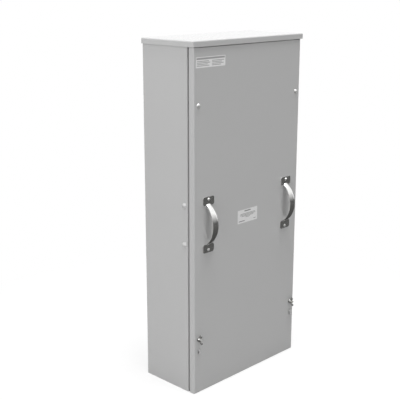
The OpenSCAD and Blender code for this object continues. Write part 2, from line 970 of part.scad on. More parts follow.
module screw_rings() {
    color(zinc)
        for (s = [-1, 1])
            difference() {
                rod_y([s * x_fastener, y_cover_in, z_screw], ring_r, ring_t);
                rod_y([s * x_fastener, y_face, z_screw], cover_screw_r + thread_gap, cover_edge);
            }
}

// Wing nut with its base a little clear of the cover's face
wing_bore_r = stud_r + turning_gap;
wing_base_r = 7;
wing_base_h = 1.6;
wing_hub_r = 6.2;
wing_hub_top_r = 5.2;
wing_hub_h = 8;
wing_lobe_r = 4.2;
wing_lobe_z = 10.2;
wing_t = 2.4;
wing_sink = 1;
wing_slope = 0.7;
x_lobe = wing_spread / 2 - wing_lobe_r;
web = 0.6 * wing_lobe_r;

// Ear of a wing nut: a round lobe on a sloping web
module wing() {
    root = wing_hub_top_r - wing_sink;
    rotate([90, 0, 0])
        translate([0, 0, -wing_t / 2])
            linear_extrude(wing_t) {
                translate([x_lobe, wing_lobe_z]) circle(wing_lobe_r);
                polygon([
                    [root, wing_base_h], [wing_base_r, wing_base_h + wing_slope],
                    [x_lobe + web, wing_lobe_z - web], [x_lobe - web, wing_lobe_z + web],
                    [root, wing_hub_h - wing_slope]
                ]);
            }
}

module wing_nut(x) {
    color(bright)
        translate([x, y_face - face_gap, stud_height])
            rotate([90, 0, 0]) rotate([0, 0, 90 + wing_turn])
                difference() {
                    union() {
                        rotate_extrude()
                            polygon([
                                [wing_bore_r, 0], [wing_base_r, 0], [wing_base_r, wing_base_h],
                                [wing_hub_r, wing_base_h + wing_slope], [wing_hub_top_r, wing_hub_h],
                                [wing_bore_r, wing_hub_h]
                            ]);
                        for (a = [0, 180])
                            rotate([0, 0, a]) wing();
                    }
                    translate([x_lobe, 0, wing_lobe_z])
                        rotate([90, 0, 0]) cylinder(r = seal_hole_r, h = 2 * wing_t, center = true);
                }
}

module wing_nut_left() {
    wing_nut(-x_fastener);
}

module wing_nut_right() {
    wing_nut(x_fastener);
}

body_wrapper();
bottom_pan();
header();
hood();
sealing_studs();
nut_plates();
carriage_bolts();
carriage_nuts();
bracket_left();
bracket_right();
cross_bar_upper();
cross_bar_lower();
bracket_bolts();
bracket_nuts();
bus_bar_a();
bus_bar_b();
bus_bar_c();
neutral_bar();
bar_bolts();
bar_nuts();
lug_a();
lug_b();
lug_c();
lug_neutral();
lug_set_screws();
lug_bolts();
lug_nuts();
ground_bar();
ground_standoffs();
ground_screws();
terminal_screws();
cover();
handle_left();
handle_right();
handle_screws();
handle_nuts();
cover_screws();
screw_rings();
wing_nut_left();
wing_nut_right();
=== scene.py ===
"""Finishes, labels and small hardware of an electrical termination cabinet, on its CAD frame."""

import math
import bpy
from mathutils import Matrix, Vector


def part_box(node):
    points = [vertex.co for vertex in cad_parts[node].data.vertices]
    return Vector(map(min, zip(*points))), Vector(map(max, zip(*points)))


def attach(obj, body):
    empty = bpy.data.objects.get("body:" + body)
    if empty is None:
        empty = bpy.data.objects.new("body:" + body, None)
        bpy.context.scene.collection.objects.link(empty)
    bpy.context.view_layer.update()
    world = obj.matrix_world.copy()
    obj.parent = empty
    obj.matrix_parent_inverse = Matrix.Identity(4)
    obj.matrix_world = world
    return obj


bl_info = {
    "name": "Termination Cabinet",
    "version": (1, 0, 0),
    "blender": (4, 5, 0),
    "location": "3D View > Sidebar > Cabinet",
    "description": "Finishes an electrical termination cabinet and sets it in a plain studio",
    "category": "Object",
}

import bmesh
import bpy
from bpy.props import FloatProperty, FloatVectorProperty, IntProperty, PointerProperty
from mathutils import Vector

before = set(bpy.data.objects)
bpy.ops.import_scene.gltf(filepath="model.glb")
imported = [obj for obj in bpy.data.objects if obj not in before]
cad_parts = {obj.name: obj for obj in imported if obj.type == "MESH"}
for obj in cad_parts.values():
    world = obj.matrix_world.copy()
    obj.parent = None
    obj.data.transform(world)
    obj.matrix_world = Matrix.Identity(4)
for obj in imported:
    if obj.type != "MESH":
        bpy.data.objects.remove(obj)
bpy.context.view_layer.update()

MILLIMETRE = 0.001
TO_FRONT = Vector((0.0, -1.0, 0.0))
TO_BACK = Vector((0.0, 1.0, 0.0))
WHITE = (1.0, 1.0, 1.0, 1.0)

PAINTED_NODES = ("body_wrapper", "bottom_pan", "header", "hood", "cover", "carriage_bolts")
HANDLE_NODES = ("handle_left", "handle_right")
SCREW_NODES = ("handle_screws", "cover_screws")
WING_NODES = ("wing_nut_left", "wing_nut_right")
BAR_NODES = ("bus_bar_a", "bus_bar_b", "bus_bar_c", "neutral_bar")
LUG_NODES = ("lug_a", "lug_b", "lug_c", "lug_neutral", "ground_bar")
BOARD_NODES = ("cross_bar_upper", "cross_bar_lower")
ZINC_NODES = (
    "sealing_studs", "nut_plates", "carriage_nuts", "bracket_left", "bracket_right",
    "bracket_bolts", "bracket_nuts", "bar_bolts", "bar_nuts", "lug_set_screws", "lug_bolts",
    "lug_nuts", "ground_standoffs", "ground_screws", "terminal_screws", "handle_nuts", "screw_rings",
)

# Range in which most of a soft noise lies
NOISE_LOW = 0.3
NOISE_HIGH = 0.7

# Scales that draw a pattern out along the axis whose number is small
ALONG_GRIP = (1.0, 1.0, 0.04)
ALONG_BAR = (1.0, 1.0, 0.02)
ALONG_LUG = (0.05, 1.0, 1.0)
ALONG_BOARD = (0.25, 1.0, 1.0)

# Material slots of a label
FILM_SLOT = 0
INK_SLOT = 1

# Printed bars of the labels: left edge, lower edge, width and height, as shares of the label
UPPER_BARS = (
    (0.02, 0.75, 0.96, 0.18),
    (0.03, 0.56, 0.40, 0.07),
    (0.03, 0.42, 0.44, 0.07),
    (0.03, 0.28, 0.36, 0.07),
    (0.03, 0.14, 0.42, 0.07),
    (0.54, 0.56, 0.42, 0.07),
    (0.54, 0.42, 0.34, 0.07),
    (0.54, 0.28, 0.40, 0.07),
    (0.54, 0.14, 0.30, 0.07),
)
MIDDLE_BARS = (
    (0.34, 0.84, 0.32, 0.075),
    (0.14, 0.66, 0.74, 0.035),
    (0.12, 0.57, 0.78, 0.035),
    (0.20, 0.48, 0.60, 0.035),
    (0.40, 0.39, 0.22, 0.035),
    (0.06, 0.12, 0.30, 0.055),
    (0.80, 0.14, 0.13, 0.035),
)


# Kinds of setting

def colour(name, description, default):
    """Property that holds a colour, as linear red, green and blue."""
    return FloatVectorProperty(
        name=name, description=description, default=default, subtype="COLOR", min=0.0, max=1.0
    )


def length(name, description, default):
    """Property that holds a length in metres."""
    return FloatProperty(
        name=name, description=description, default=default, unit="LENGTH", precision=5
    )


def share(name, description, default):
    """Property that holds a part of one whole."""
    return FloatProperty(
        name=name, description=description, default=default, subtype="FACTOR", min=0.0, max=1.0
    )


def level(name, description, default):
    """Property that holds a light's strength."""
    return FloatProperty(name=name, description=description, default=default, min=0.0)


def angle(name, description, degrees):
    """Property that holds an angle, whose default is given in degrees."""
    return FloatProperty(
        name=name, description=description, default=math.radians(degrees), subtype="ANGLE"
    )


def direction(name, description, default):
    """Property that holds a direction."""
    return FloatVectorProperty(
        name=name, description=description, default=default, subtype="DIRECTION"
    )


class CabinetFinishes(bpy.types.PropertyGroup):
    """Colours and gloss of the finishes"""

    paint: colour("Paint", "Powder coat on the body, hood and cover", (0.425, 0.425, 0.425))
    paint_roughness: share("Paint roughness", "Roughness of the powder coat", 0.36)
    skin: share("Paint skin", "Weight of the smooth skin on the powder coat", 1.0)
    skin_roughness: share("Skin roughness", "Roughness of the powder coat's skin", 0.1)
    steel: colour("Bright steel", "Polished handles", (0.93, 0.93, 0.92))
    nickel: colour("Nickel plate", "Plated screws of the cover and handles", (0.76, 0.76, 0.75))
    nickel_metal: share("Nickel metal", "Share of bare metal under the screws' dull film", 0.7)
    nickel_roughness: share("Nickel roughness", "Roughness of the plated screws", 0.28)
    wing_zinc: colour("Wing nut zinc", "Cast and plated wing nuts", (0.48, 0.48, 0.47))
    wing_metal: share("Wing nut metal", "Share of bare metal on the wing nuts", 1.0)
    wing_roughness: share("Wing nut roughness", "Roughness of the plated wing nuts", 0.1)
    zinc: colour("Zinc plate", "Studs, brackets, bolts and nuts", (0.60, 0.60, 0.58))
    zinc_metal: share("Zinc metal", "Share of bare metal under the zinc's dull film", 0.55)
    tin: colour("Tin plate", "Bus bars, lugs and ground bar", (0.70, 0.71, 0.72))
    tin_metal: share("Tin metal", "Share of bare metal under the tin's dull film", 0.5)
    board: colour("Insulating board", "Bars that carry the bus bars", (0.34, 0.055, 0.035))
    film: colour("Label film", "Film of the upper label", (0.66, 0.66, 0.66))
    film_roughness: share("Film roughness", "Roughness of the upper label's film", 0.35)
    pale_film: colour("Pale label film", "Film of the middle label", (0.62, 0.62, 0.62))
    pale_film_roughness: share("Pale film roughness", "Roughness of the middle label's film", 0.4)
    grey_ink: colour("Grey ink", "Band and rules on the upper label", (0.30, 0.30, 0.30))
    text_ink: colour("Text ink", "Rules on the middle label", (0.13, 0.13, 0.13))
    ink_roughness: share("Ink roughness", "Roughness of the labels' ink", 0.5)


class CabinetLabels(bpy.types.PropertyGroup):
    """Sizes and places of the labels on the cover"""

    film: length("Film", "Thickness of the label film", 0.15 * MILLIMETRE)
    ink: length("Ink", "Thickness of the printed ink", 0.03 * MILLIMETRE)
    corner: length("Corner", "Radius of the labels' corners", 1.5 * MILLIMETRE)
    bar_corner: share("Bar corner", "Corner radius of a printed bar, as a share of its height", 1 / 6)
    upper_width: length("Upper width", "Width of the upper label", 114 * MILLIMETRE)
    upper_height: length("Upper height", "Height of the upper label", 28.4 * MILLIMETRE)
    upper_inset: length("Upper inset", "Cover's left edge to the upper label", 7.1 * MILLIMETRE)
    upper_drop: length("Upper drop", "Cover's top edge to the upper label", 25.7 * MILLIMETRE)
    middle_width: length("Middle width", "Width of the middle label", 86 * MILLIMETRE)
    middle_height: length("Middle height", "Height of the middle label", 40 * MILLIMETRE)
    middle_shift: length("Middle shift", "Middle label to the right of centre", -3 * MILLIMETRE)
    middle_rise: length("Middle rise", "Middle label above the centre", -0.3 * MILLIMETRE)


class CabinetHardware(bpy.types.PropertyGroup):
    """Sizes of the threads and weld spots"""

    pitch: length("Pitch", "Pitch of the screw threads", 0.8 * MILLIMETRE)
    ridge: length("Ridge", "Height of the thread's ridge", 0.2 * MILLIMETRE)
    tip: length("Tip", "Threaded length that shows past a nut", 2.6 * MILLIMETRE)
    stud_tip: length("Stud tip", "Threaded length at a stud's end", 1.3 * MILLIMETRE)
    stud_radius: length("Stud radius", "Radius of the sealing studs", 3.2 * MILLIMETRE)
    bolt_radius: length("Bolt radius", "Radius of the bar and bracket bolts", 4.0 * MILLIMETRE)
    lug_bolt_radius: length("Lug bolt radius", "Radius of the lug bolts", 4.8 * MILLIMETRE)
    screw_radius: length("Screw radius", "Radius of the handle screws", 2.4 * MILLIMETRE)
    screw_head: length("Screw head", "Radius of the handle screws' heads", 4.4 * MILLIMETRE)
    washer_radius: length("Washer radius", "Radius of the bracket nuts' washers", 8 * MILLIMETRE)
    sheet: length("Sheet", "Thickness of the body's sheet", 2 * MILLIMETRE)
    spot_radius: length("Spot radius", "Radius of a weld spot", 2.6 * MILLIMETRE)
    spot_crown: share("Spot crown", "Flat top of a weld spot as a share of its radius", 0.7)
    spot_rise: length("Spot rise", "Height of a weld spot", 0.18 * MILLIMETRE)
    spot_count: IntProperty(name="Spots", description="Weld spots in a row", default=9, min=2)
    spot_inset: length("Spot inset", "Floor's end to the first weld spot", 30 * MILLIMETRE)
    spot_height: length("Spot height", "Weld spots above the base", 11 * MILLIMETRE)


class CabinetStudio(bpy.types.PropertyGroup):
    """Floor, dark card, lights and camera"""

    floor: colour("Floor", "Colour of the floor", (0.72, 0.72, 0.72))
    floor_reach: length("Floor reach", "From the cabinet to the floor's edges", 30.0)
    floor_white: share("Floor white", "Share of white in the floor beside the cabinet", 0.72)
    floor_near: length("Floor near", "Distance from which the floor fades to white", 0.25)
    floor_far: length("Floor far", "Distance from which the floor is white", 1.1)
    card: colour("Dark card", "Card that the bright metal mirrors", (0.016, 0.016, 0.015))
    card_front: length("Card front", "From the cabinet to the card's standing part", 6.0)
    card_back: length("Card back", "From the cabinet to the card's rear edge", 12.0)
    card_side: length("Card side", "From the cabinet to the card's side edges", 12.0)
    card_lift: length("Card lift", "Height of the card's lying part above the floor", MILLIMETRE)
    card_rise: length("Card rise", "Height of the card's standing part", 5.2)
    card_dark: length("Card dark", "Height up to which the card is dark", 0.0)
    card_white: length("Card white", "Height from which the card is white", 5.2)
    world: level("World light", "Strength of the light from all round", 0.15)
    overhead: level("Overhead light", "Strength of the light from above", 4.2)
    overhead_from: direction("Overhead place", "Where the overhead light is", (0.0, -0.12, 0.98))
    overhead_softness: angle("Overhead softness", "Angle that the overhead light fills", 30)
    side: level("Side light", "Strength of the light from the left", 1.75)
    side_from: direction("Side place", "Where the side light is", (-0.88, 0.15, 0.30))
    front: level("Front light", "Strength of the light from the front", 0.25)
    front_from: direction("Front place", "Where the front light is", (-0.1, -0.95, 0.30))
    softness: angle("Softness", "Angle that the side and front lights fill", 70)
    lens: FloatProperty(name="Lens", description="Focal length", default=75.67, unit="CAMERA")
    place: FloatVectorProperty(
        name="Camera place", description="Where the camera stands",
        default=(-1.7991, -1.6562, 1.1788), subtype="TRANSLATION",
    )
    turn: FloatVectorProperty(
        name="Camera turn", description="Where the camera looks",
        default=(math.radians(75.118), 0.0, math.radians(-45.435)), subtype="EULER",
    )


# Shader nodes

def add_node(tree, kind, inputs=None, **settings):
    """Adds a node, sets its options, and links or fills its inputs by name or number."""
    node = tree.nodes.new(kind)
    for name, value in settings.items():
        setattr(node, name, value)
    for name, value in (inputs or {}).items():
        if isinstance(value, bpy.types.NodeSocket):
            tree.links.new(value, node.inputs[name])
        else:
            node.inputs[name].default_value = value
    return node


def new_material(name):
    """Makes a node material and returns it with its tree and shader."""
    material = bpy.data.materials.new(name)
    material.use_nodes = True
    tree = material.node_tree
    return material, tree, tree.nodes["Principled BSDF"]


def object_place(tree, stretch=(1.0, 1.0, 1.0)):
    """Object coordinates in metres, scaled along the axes."""
    coordinates = add_node(tree, "ShaderNodeTexCoord")
    inputs = {"Vector": coordinates.outputs["Object"], "Scale": stretch}
    return add_node(tree, "ShaderNodeMapping", inputs).outputs["Vector"]


def noise(tree, place, scale, detail=2.0):
    """Soft noise from 0 to 1."""
    inputs = {"Vector": place, "Scale": scale, "Detail": detail}
    return add_node(tree, "ShaderNodeTexNoise", inputs).outputs["Fac"]


def between_colours(tree, factor, low, high, start=NOISE_LOW, end=NOISE_HIGH):
    """Colour that goes from low to high as the factor goes from start to end."""
    ramp = add_node(tree, "ShaderNodeValToRGB", {"Fac": factor})
    first, last = ramp.color_ramp.elements
    first.position = start
    first.color = (*low, 1.0)
    last.position = end
    last.color = (*high, 1.0)
    return ramp.outputs["Color"]


def between_values(tree, factor, low, high, start=NOISE_LOW, end=NOISE_HIGH):
    """Value that goes from low to high as the factor goes from start to end."""
    inputs = {"Value": factor, "From Min": start, "From Max": end, "To Min": low, "To Max": high}
    return add_node(tree, "ShaderNodeMapRange", inputs).outputs["Result"]


def shade(base, amount):
    """The colour made lighter or darker by a factor."""
    return tuple(min(channel * amount, 1.0) for channel in base)


def mottled(tree, pattern, tint, low, high, **span):
    """Colour that goes from low to high times the tint over a pattern."""
    return between_colours(tree, pattern, shade(tint, low), shade(tint, high), **span)


def bumped(tree, pattern, depth, strength):
    """Normal of a surface that rises by the depth from a pattern's lowest to its highest."""
    inputs = {"Height": pattern, "Distance": depth, "Strength": strength}
    return add_node(tree, "ShaderNodeBump", inputs).outputs["Normal"]


def connect(tree, shader, **sockets):
    """Links outputs to the shader's inputs, whose names are given with underscores."""
    for name, output in sockets.items():
        tree.links.new(output, shader.inputs[name.replace("_", " ").title()])


def blend_shaders(tree, factor, first, second):
    """Shader that goes from the first to the second as the factor goes from 0 to 1."""
    inputs = {0: factor, 1: first, 2: second}
    return add_node(tree, "ShaderNodeMixShader", inputs).outputs["Shader"]


def seen_directly(tree):
    """1 for rays from the camera and for rays that metal or glass sends on, otherwise 0."""
    path = add_node(tree, "ShaderNodeLightPath")
    total = path.outputs["Is Camera Ray"]
    for name in ("Is Glossy Ray", "Is Transmission Ray"):
        inputs = {0: total, 1: path.outputs[name]}
        total = add_node(tree, "ShaderNodeMath", inputs, operation="MAXIMUM").outputs["Value"]
    return total


# Finishes

def powder_coat(finishes):
    """Satin grey powder coat with a fine orange peel and a smooth skin."""
    material, tree, shader = new_material("grey_powder_coat")
    shader.inputs["Coat Weight"].default_value = finishes.skin
    shader.inputs["Coat Roughness"].default_value = finishes.skin_roughness
    place = object_place(tree)
    cloud = noise(tree, place, scale=5.0)
    grain = noise(tree, place, scale=90.0, detail=3.0)
    peel = noise(tree, place, scale=420.0, detail=1.0)
    rough = finishes.paint_roughness
    connect(
        tree, shader,
        base_color=mottled(tree, cloud, finishes.paint, low=0.996, high=1.004),
        roughness=between_values(tree, grain, low=rough - 0.02, high=rough + 0.02),
        normal=bumped(tree, peel, depth=0.006 * MILLIMETRE, strength=0.5),
    )
    return material


def polished_steel(finishes):
    """Polished steel with faint polishing lines along the grip and a little haze."""
    material, tree, shader = new_material("polished_steel")
    shader.inputs["Metallic"].default_value = 1.0
    lines = noise(tree, object_place(tree, ALONG_GRIP), scale=2500.0)
    haze = noise(tree, object_place(tree), scale=90.0, detail=3.0)
    connect(
        tree, shader,
        base_color=mottled(tree, haze, finishes.steel, low=0.95, high=1.04),
        roughness=between_values(tree, lines, low=0.14, high=0.20),
        normal=bumped(tree, lines, depth=0.004 * MILLIMETRE, strength=0.3),
    )
    return material


def bright_plate(name, tint, metal, rough):
    """Bright plate over a fine grain."""
    material, tree, shader = new_material(name)
    shader.inputs["Metallic"].default_value = metal
    grain = noise(tree, object_place(tree), scale=700.0, detail=3.0)
    connect(
        tree, shader,
        base_color=mottled(tree, grain, tint, low=0.94, high=1.06),
        roughness=between_values(tree, grain, low=rough * 0.65, high=rough * 1.35),
        normal=bumped(tree, grain, depth=0.01 * MILLIMETRE, strength=0.3),
    )
    return material


def zinc_plate(finishes):
    """Dull zinc plate with cloudy patches, some cooler and some warmer in tone."""
    material, tree, shader = new_material("zinc_plate_clear")
    shader.inputs["Metallic"].default_value = finishes.zinc_metal
    place = object_place(tree)
    cloud = noise(tree, place, scale=120.0, detail=4.0)
    grain = noise(tree, place, scale=1500.0)
    blue = Vector((0.97, 0.99, 1.03))
    yellow = Vector((1.04, 1.01, 0.94))
    cool, warm = [Vector(finishes.zinc) * tone for tone in (blue, yellow)]
    connect(
        tree, shader,
        base_color=between_colours(tree, cloud, cool, warm),
        roughness=between_values(tree, cloud, low=0.32, high=0.48),
        normal=bumped(tree, grain, depth=0.01 * MILLIMETRE, strength=0.4),
    )
    return material


def tin_plate(finishes, name, brushing):
    """Dull tin plate, brushed along the axis that the scales draw out."""
    material, tree, shader = new_material(name)
    shader.inputs["Metallic"].default_value = finishes.tin_metal
    lines = noise(tree, object_place(tree, brushing), scale=1200.0, detail=3.0)
    cloud = noise(tree, object_place(tree), scale=35.0, detail=3.0)
    connect(
        tree, shader,
        base_color=mottled(tree, cloud, finishes.tin, low=0.93, high=1.04),
        roughness=between_values(tree, lines, low=0.30, high=0.46),
        normal=bumped(tree, lines, depth=0.012 * MILLIMETRE, strength=0.5),
    )
    return material


def insulating_board(finishes):
    """Red glass-mat polyester board with short pale fibres."""
    material, tree, shader = new_material("insulating_board_red")
    fibres = noise(tree, object_place(tree, ALONG_BOARD), scale=900.0, detail=4.0)
    mottle = noise(tree, object_place(tree), scale=160.0, detail=4.0)
    connect(
        tree, shader,
        base_color=mottled(tree, fibres, finishes.board, low=0.8, high=1.45, start=0.4, end=0.68),
        roughness=between_values(tree, mottle, low=0.42, high=0.6),
        normal=bumped(tree, mottle, depth=0.03 * MILLIMETRE, strength=0.4),
    )
    return material


def printed(name, tint, rough):
    """Label film or ink, with a faint uneven tone and a slight ripple."""
    material, tree, shader = new_material(name)
    place = object_place(tree)
    uneven = noise(tree, place, scale=220.0, detail=3.0)
    ripple = noise(tree, place, scale=60.0, detail=1.0)
    connect(
        tree, shader,
        base_color=mottled(tree, uneven, tint, low=0.95, high=1.03),
        roughness=between_values(tree, uneven, low=rough - 0.05, high=rough + 0.05),
        normal=bumped(tree, ripple, depth=0.03 * MILLIMETRE, strength=0.4),
    )
    return material


def finish_nodes(names, material):
    """Gives CAD nodes one material."""
    for name in names:
        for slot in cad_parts[name].material_slots:
            slot.material = material


# Places on the frame

def middle_of(node):
    """Centre of a CAD node's box."""
    low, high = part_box(node)
    return (low + high) / 2


def corner_places(node, inset):
    """X and Z of a node's four screws, whose heads reach the corners of its box."""
    low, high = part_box(node)
    across = (low.x + inset, high.x - inset)
    up = (low.z + inset, high.z - inset)
    return [(x, z) for x in across for z in up]


def seats_at(places, depth, axis):
    """Seats, each a point with an axis, at places in X and Z that share a depth."""
    return [(Vector((x, depth, z)), axis) for x, z in places]


def rear_ends(node, places):
    """Seats at the rear ends of a node's screws, along their shanks."""
    return seats_at(places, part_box(node)[1].y, TO_FRONT)


def link_piece(name, mesh):
    """Makes a piece of a mesh that is already in its place."""
    piece = bpy.data.objects.new(name, mesh)
    bpy.context.scene.collection.objects.link(piece)
    return piece


# Labels

def rounded_outline(left, bottom, width, height, corner, steps=5):
    """Points round a rectangle with round corners, in X and Z."""
    near, far = left + corner, left + width - corner
    low, high = bottom + corner, bottom + height - corner
    points = []
    for x, z, start in ((far, high, 0), (near, high, 90), (near, low, 180), (far, low, 270)):
        for step in range(steps + 1):
            turn = math.radians(start + 90 * step / steps)
            points.append((x + corner * math.cos(turn), z + corner * math.sin(turn)))
    return points


def raise_plate(mesh, outline, back, front, slot):
    """Adds a flat plate between two depths to a mesh."""
    rear = [mesh.verts.new((x, back, z)) for x, z in outline]
    face = [mesh.verts.new((x, front, z)) for x, z in outline]
    faces = [mesh.faces.new(face), mesh.faces.new(rear[::-1])]
    for index, vert in enumerate(face):
        faces.append(mesh.faces.new((vert, face[index - 1], rear[index - 1], rear[index])))
    for side in faces:
        side.material_index = slot


def make_label(name, area, bars, film, ink, labels):
    """Label on the cover: a film with printed bars, given as shares of the film's area."""
    left, bottom, width, height = area
    # The handles' feet lie on the cover's face
    cover_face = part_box("handle_left")[1].y
    film_face = cover_face - labels.film
    ink_face = film_face - labels.ink
    mesh = bmesh.new()
    outline = rounded_outline(left, bottom, width, height, labels.corner)
    raise_plate(mesh, outline, cover_face, film_face, FILM_SLOT)
    for x, z, across, up in bars:
        size = (across * width, up * height)
        corner = labels.bar_corner * size[1]
        outline = rounded_outline(left + x * width, bottom + z * height, *size, corner)
        raise_plate(mesh, outline, film_face, ink_face, INK_SLOT)
    bmesh.ops.recalc_face_normals(mesh, faces=mesh.faces)
    data = bpy.data.meshes.new(name)
    mesh.to_mesh(data)
    mesh.free()
    data.materials.append(film)
    data.materials.append(ink)
    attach(link_piece(name, data), "cover")


# Geometry Nodes

def new_geometry_tree(name, sizes):
    """Geometry tree with inputs for its points, its named sizes and its material."""
    tree = bpy.data.node_groups.new(name, "GeometryNodeTree")
    inputs = {"Geometry": "NodeSocketGeometry"}
    inputs.update(dict.fromkeys(sizes, "NodeSocketFloat"))
    inputs["Material"] = "NodeSocketMaterial"
    for label, kind in inputs.items():
        tree.interface.new_socket(label, in_out="INPUT", socket_type=kind)
    tree.interface.new_socket("Geometry", in_out="OUTPUT", socket_type="NodeSocketGeometry")
    return tree, tree.nodes.new("NodeGroupInput").outputs


def set_on_seats(tree, given, shape):
    """Ends a tree: sets a shape on each point along its axis, as real geometry in its material."""
    axis = add_node(
        tree, "GeometryNodeInputNamedAttribute", {"Name": "axis"}, data_type="FLOAT_VECTOR"
    ).outputs["Attribute"]
    turn = add_node(tree, "FunctionNodeAlignRotationToVector", {"Vector": axis}, axis="Z")
    placed = add_node(
        tree, "GeometryNodeInstanceOnPoints",
        {"Points": given["Geometry"], "Instance": shape, "Rotation": turn.outputs["Rotation"]},
    )
    real = add_node(
        tree, "GeometryNodeRealizeInstances", {"Geometry": placed.outputs["Instances"]}
    )
    dressed = add_node(
        tree, "GeometryNodeSetMaterial",
        {"Geometry": real.outputs["Geometry"], "Material": given["Material"]},
    )
    add_node(tree, "NodeGroupOutput", {"Geometry": dressed.outputs["Geometry"]})


def thread_tree():
    """Spiral ridges set on points, each along its own axis."""
    tree, given = new_geometry_tree("screw_threads", ("Radius", "Turns", "Length", "Ridge"))
    spiral = add_node(
        tree, "GeometryNodeCurveSpiral",
        {
            "Resolution": 20, "Rotations": given["Turns"], "Start Radius": given["Radius"],
            "End Radius": given["Radius"], "Height": given["Length"],
        },
    ).outputs["Curve"]
    profile = add_node(
        tree, "GeometryNodeCurvePrimitiveCircle", {"Resolution": 4, "Radius": given["Ridge"]}
    ).outputs["Curve"]
    ridge = add_node(
        tree, "GeometryNodeCurveToMesh",
        {"Curve": spiral, "Profile Curve": profile, "Fill Caps": True},
    )
    set_on_seats(tree, given, ridge.outputs["Mesh"])
    return tree


def weld_tree():
    """Low round spots set on points, each along its own axis."""
    tree, given = new_geometry_tree("weld_spots", ("Radius", "Crown", "Rise"))
    spot = add_node(
        tree, "GeometryNodeMeshCone",
        {
            "Vertices": 20, "Radius Top": given["Crown"], "Radius Bottom": given["Radius"],
            "Depth": given["Rise"],
        },
    )
    set_on_seats(tree, given, spot.outputs["Mesh"])
    return tree


def grow(name, tree, seats, values):
    """Runs a tree on seats, each a point with an axis, and returns the result as a plain piece."""
    points, axes = zip(*seats)
    mesh = bpy.data.meshes.new(name + "_seats")
    mesh.from_pydata(points, [], [])
    attribute = mesh.attributes.new("axis", "FLOAT_VECTOR", "POINT")
    for item, axis in zip(attribute.data, axes):
        item.vector = axis
    piece = link_piece(name, mesh)
    modifier = piece.modifiers.new(tree.name, "NODES")
    modifier.node_group = tree
    sockets = [item for item in tree.interface.items_tree if item.in_out == "INPUT"]
    identifiers = {socket.name: socket.identifier for socket in sockets}
    for label, value in values.items():
        modifier[identifiers[label]] = value
    evaluated = piece.evaluated_get(bpy.context.evaluated_depsgraph_get())
    result = bpy.data.meshes.new_from_object(evaluated)
    piece.modifiers.clear()
    piece.data = result
    result.name = name
    return piece


# Studio

def set_world(scene, studio):
    """Even white light from all round, and a white background."""
    world = bpy.data.worlds.new("studio_world")
    world.use_nodes = True
    scene.world = world
    tree = world.node_tree
    tree.nodes.clear()
    light = add_node(tree, "ShaderNodeBackground", {"Color": WHITE, "Strength": studio.world})
    white = add_node(tree, "ShaderNodeBackground", {"Color": WHITE, "Strength": 1.0})
    mixed = blend_shaders(
        tree, seen_directly(tree), light.outputs["Background"], white.outputs["Background"]
    )
    add_node(tree, "ShaderNodeOutputWorld", {"Surface": mixed})


def wide_sheet(name, reach, edges):
    """Sheet across the scene through edges, each given by its depth and height."""
    mesh = bpy.data.meshes.new(name)
    corners = [(side * reach, depth, height) for depth, height in edges for side in (-1.0, 1.0)]
    starts = range(0, len(corners) - 2, 2)
    mesh.from_pydata(corners, [], [(start, start + 1, start + 3, start + 2) for start in starts])
    sheet = link_piece(name, mesh)
    return sheet


def lay_floor(studio):
    """Pale floor that fades to white away from the cabinet and keeps its shadow."""
    reach = studio.floor_reach
    floor = wide_sheet("floor", reach, [(-reach, 0.0), (reach, 0.0)])
    material = bpy.data.materials.new("pale_floor")
    material.use_nodes = True
    tree = material.node_tree
    tree.nodes.clear()
    place = object_place(tree)
    distance = add_node(
        tree, "ShaderNodeVectorMath", {0: place}, operation="LENGTH"
    ).outputs["Value"]
    fade = between_values(
        tree, distance, low=studio.floor_white, high=1.0,
        start=studio.floor_near, end=studio.floor_far,
    )
    factor = add_node(
        tree, "ShaderNodeMath", {0: fade, 1: seen_directly(tree)}, operation="MULTIPLY"
    ).outputs["Value"]
    grain = mottled(tree, noise(tree, place, scale=30.0), studio.floor, low=0.99, high=1.01)
    matt = add_node(tree, "ShaderNodeBsdfDiffuse", {"Color": grain})
    white = add_node(tree, "ShaderNodeEmission", {"Strength": 1.0})
    mixed = blend_shaders(tree, factor, matt.outputs["BSDF"], white.outputs["Emission"])
    add_node(tree, "ShaderNodeOutputMaterial", {"Surface": mixed})
    material.cycles.emission_sampling = "NONE"
    floor.data.materials.append(material)


def lay_card(studio):
    """Card that lies on the floor and stands up in front, dark below and white at its top.

    Only glossy surfaces mirror it, so that bright metal gets its dark bands.
    """
    edges = [
        (-studio.card_front, studio.card_rise),
        (-studio.card_front, studio.card_lift),
        (studio.card_back, studio.card_lift),
    ]
    card = wide_sheet("dark_card", studio.card_side, edges)
    card.visible_camera = False
    card.visible_diffuse = False
    card.visible_shadow = False
    material, tree, shader = new_material("dark_card")
    shader.inputs["Roughness"].default_value = 0.9
    place = object_place(tree)
    tone = mottled(tree, noise(tree, place, scale=4.0), studio.card, low=0.9, high=1.1)
    connect(tree, shader, base_color=tone)
    white = add_node(tree, "ShaderNodeEmission", {"Strength": 1.0})
    height = add_node(tree, "ShaderNodeSeparateXYZ", {"Vector": place}).outputs["Z"]
    fade = between_values(
        tree, height, low=0.0, high=1.0, start=studio.card_dark, end=studio.card_white
    )
    mixed = blend_shaders(tree, fade, shader.outputs["BSDF"], white.outputs["Emission"])
    tree.links.new(mixed, tree.nodes["Material Output"].inputs["Surface"])
    material.cycles.emission_sampling = "NONE"
    card.data.materials.append(material)


def add_sun(name, strength, softness, source):
    """Soft even light from a direction."""
    light = bpy.data.lights.new(name, "SUN")
    light.energy = strength
    light.angle = softness
    lamp = bpy.data.objects.new(name, light)
    lamp.rotation_euler = Vector(source).to_track_quat("Z", "Y").to_euler()
    bpy.context.scene.collection.objects.link(lamp)
    return lamp


